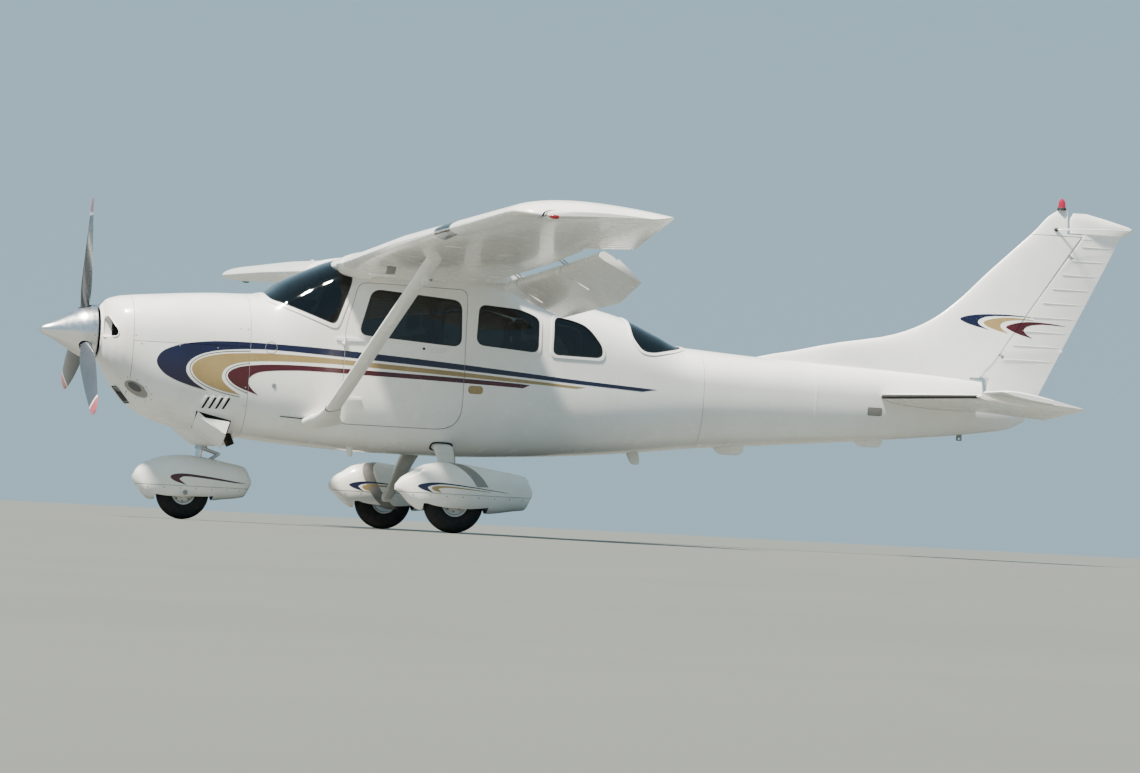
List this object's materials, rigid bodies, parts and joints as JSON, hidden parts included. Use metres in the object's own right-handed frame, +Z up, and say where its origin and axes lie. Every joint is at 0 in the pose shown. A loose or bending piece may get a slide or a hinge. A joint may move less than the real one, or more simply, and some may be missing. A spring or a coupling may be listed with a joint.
{
  "type": "light aircraft",
  "caption": "High-wing, strut-braced light aircraft with piston engine, fixed tricycle gear in wheel fairings, hinged doors, flaps and control surfaces.",
  "frame": {"origin": "on the ground plane under the middle of the overall length, in the plane of symmetry", "axes": "+X aft, nose towards -X; +Y to starboard, along the span; +Z up"},
  "size_m": [8.61, 10.972, 2.873],
  "materials": {
    "white_skin": "gloss white enamel on aluminium sheet, with navy, tan and crimson stripes",
    "white_cowl": "gloss white enamel on metal",
    "white_fairing": "gloss white paint on moulded fibre plastic",
    "gear_white": "gloss white enamel on steel",
    "bright_steel": "bright machined steel",
    "exhaust_steel": "heat-stained steel",
    "engine_metal": "grey cast metal",
    "propeller_grey": "dark grey satin paint",
    "polished_spinner": "polished metal",
    "tinted_window": "tinted acrylic",
    "clear_cover": "clear acrylic",
    "tyre_rubber": "matt black rubber",
    "cabin_carpet": "aluminium floor under dark grey carpet",
    "panel_black": "grained matt black",
    "seat_trim": "woven grey-beige cloth",
    "red_lens": "clear red dome"
  },
  "bodies": {
    "airframe": {"wing_left": "white_skin", "wing_right": "white_skin", "wing_tip_left": "white_fairing", "wing_tip_right": "white_fairing", "landing_lamp_cover": "clear_cover", "cabin_shell": "white_skin", "windshield": "tinted_window", "rear_window": "tinted_window", "window_left_middle": "tinted_window", "window_left_rear": "tinted_window", "window_right_front": "tinted_window", "cabin_floor": "cabin_carpet", "instrument_panel": "panel_black", "seat_front_left": "seat_trim", "seat_front_right": "seat_trim", "seat_middle_left": "seat_trim", "seat_middle_right": "seat_trim", "seat_rear_bench": "seat_trim", "nose_bowl": "white_cowl", "upper_cowl": "white_cowl", "lower_cowl": "white_cowl", "engine_block": "engine_metal", "exhaust_stack": "exhaust_steel", "cowl_flap_left": "white_cowl", "cowl_flap_right": "white_cowl", "strut_left": "white_skin", "strut_right": "white_skin", "main_leg_left": "gear_white", "main_leg_right": "gear_white", "main_spat_left": "white_fairing", "main_spat_right": "white_fairing", "nose_strut": "bright_steel", "stabilizer": "white_skin", "tail_cone": "white_skin", "fin": "white_skin", "beacon": "red_lens"},
    "propeller": {"propeller": "propeller_grey", "spinner": "polished_spinner"},
    "nose_leg": {"nose_fork": "bright_steel", "nose_spat": "white_fairing"},
    "nose_wheel": {"nose_tyre": "tyre_rubber", "nose_rim": "gear_white"},
    "main_wheel_left": {"main_tyre_left": "tyre_rubber", "main_rim_left": "gear_white"},
    "main_wheel_right": {"main_tyre_right": "tyre_rubber", "main_rim_right": "gear_white"},
    "pilot_door": {"pilot_door": "white_skin", "pilot_door_window": "tinted_window"},
    "cargo_door_front": {"cargo_door_front": "white_skin", "cargo_window_front": "tinted_window"},
    "cargo_door_rear": {"cargo_door_rear": "white_skin", "cargo_window_rear": "tinted_window"},
    "flap_left": {"flap_left": "white_skin"},
    "flap_right": {"flap_right": "white_skin"},
    "aileron_left": {"aileron_left": "white_skin"},
    "aileron_right": {"aileron_right": "white_skin"},
    "elevator": {"elevator": "white_skin"},
    "rudder": {"rudder": "white_skin"}
  },
  "joints": [
    {"name": "propeller_spin", "type": "hinge", "parent": "airframe", "child": "propeller", "pos_m": [-3.975, 0, 1.36], "axis": [1, 0, 0], "continuous": true},
    {"name": "nose_steering", "type": "hinge", "parent": "airframe", "child": "nose_leg", "pos_m": [-3.048, 0, 0.56], "axis": [0.1149, 0, 0.9934], "range_deg": [-15, 15]},
    {"name": "nose_wheel_spin", "type": "hinge", "parent": "nose_leg", "child": "nose_wheel", "pos_m": [-3.165, 0, 0.19874], "axis": [0, 1, 0], "continuous": true},
    {"name": "main_wheel_left_spin", "type": "hinge", "parent": "airframe", "child": "main_wheel_left", "pos_m": [-1.365, -1.235, 0.2211], "axis": [0, 1, 0], "continuous": true},
    {"name": "main_wheel_right_spin", "type": "hinge", "parent": "airframe", "child": "main_wheel_right", "pos_m": [-1.365, 1.235, 0.2211], "axis": [0, 1, 0], "continuous": true},
    {"name": "pilot_door_hinge", "type": "hinge", "parent": "airframe", "child": "pilot_door", "pos_m": [-2.105, -0.5897, 1.2], "axis": [0, 0, -1], "range_deg": [0, 65]},
    {"name": "cargo_door_front_hinge", "type": "hinge", "parent": "airframe", "child": "cargo_door_front", "pos_m": [-1.159, 0.5962, 1.2], "axis": [0, 0, 1], "range_deg": [0, 90]},
    {"name": "cargo_door_rear_hinge", "type": "hinge", "parent": "airframe", "child": "cargo_door_rear", "pos_m": [-0.019, 0.5177, 1.2], "axis": [0, 0, -1], "range_deg": [0, 90]},
    {"name": "flap_right_hinge", "type": "hinge", "parent": "airframe", "child": "flap_right", "pos_m": [-1.052, 0.584, 1.705], "axis": [0, -0.9994, -0.035], "range_deg": [-10, 30]},
    {"name": "flap_left_hinge", "type": "hinge", "parent": "airframe", "child": "flap_left", "pos_m": [-1.052, -0.584, 1.705], "axis": [0, -0.9994, 0.035], "range_deg": [-10, 30]},
    {"name": "aileron_right_hinge", "type": "hinge", "parent": "airframe", "child": "aileron_right", "pos_m": [-1.11715, 3.8, 2.08038], "axis": [-0.1096, 0.9928, 0.0484], "range_deg": [-18, 18]},
    {"name": "aileron_left_hinge", "type": "hinge", "parent": "airframe", "child": "aileron_left", "pos_m": [-1.11715, -3.8, 2.08038], "axis": [-0.1096, -0.9928, 0.0484], "range_deg": [-18, 18]},
    {"name": "elevator_hinge", "type": "hinge", "parent": "airframe", "child": "elevator", "pos_m": [2.995, 0, 1.195], "axis": [0, -1, 0], "range_deg": [-8.5, 29.5]},
    {"name": "rudder_hinge", "type": "hinge", "parent": "airframe", "child": "rudder", "pos_m": [3.905, 0, 2.58], "axis": [0.5681, 0, 0.823], "range_deg": [-24, 24]}
  ],
  "couplings": [
    {"joint": "flap_left_hinge", "follows": "flap_right_hinge", "ratio": 1},
    {"joint": "aileron_left_hinge", "follows": "aileron_right_hinge", "ratio": 1}
  ]
}
